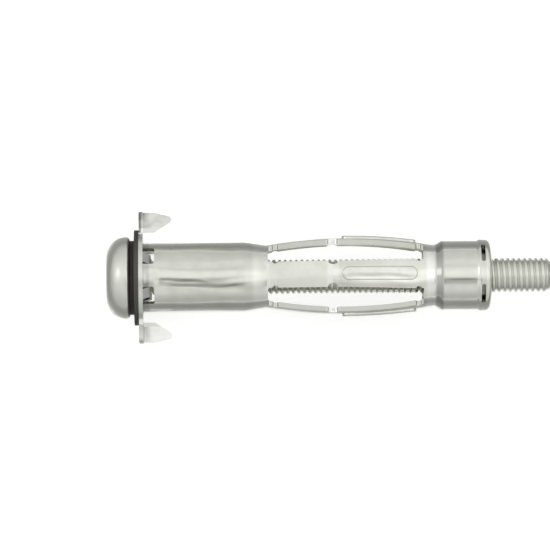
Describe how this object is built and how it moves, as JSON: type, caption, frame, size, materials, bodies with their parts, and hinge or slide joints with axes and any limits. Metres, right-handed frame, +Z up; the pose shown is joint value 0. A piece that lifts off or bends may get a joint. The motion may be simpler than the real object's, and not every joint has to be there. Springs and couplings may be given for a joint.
{
  "type": "hollow wall anchor",
  "caption": "Sheet-steel hollow wall anchor with buckling legs, toothed plate behind the flange, crimped nut and a pan-head machine screw with a soft washer.",
  "frame": {"origin": "on the anchor's axis, in the rear face of the toothed plate, which bears on the board", "axes": "+X along the axis into the cavity, towards the screw's tip; the two teeth lie along +Y and -Y; +Z up"},
  "size_m": [0.0637, 0.0186, 0.0136],
  "materials": {
    "screw": "satin bright zinc",
    "head_washer": "matt black",
    "barbed_plate": "satin bright zinc",
    "sleeve": "satin bright zinc",
    "nut": "satin bright zinc"
  },
  "bodies": {
    "anchor": {"sleeve": "sleeve", "barbed_plate": "barbed_plate", "nut": "nut"},
    "washer": {"head_washer": "head_washer"},
    "screw": {"screw": "screw"}
  },
  "joints": [
    {"name": "screw_travel", "type": "slide", "parent": "anchor", "child": "washer", "axis": [-1, 0, 0], "range_m": [0, 0.0144]},
    {"name": "screw_turn", "type": "hinge", "parent": "washer", "child": "screw", "pos_m": [0, 0, 0], "axis": [-1, 0, 0], "range_deg": [0, 6480]}
  ],
  "couplings": [
    {"joint": "screw_turn", "follows": "screw_travel", "rad_per_m": 7854}
  ]
}
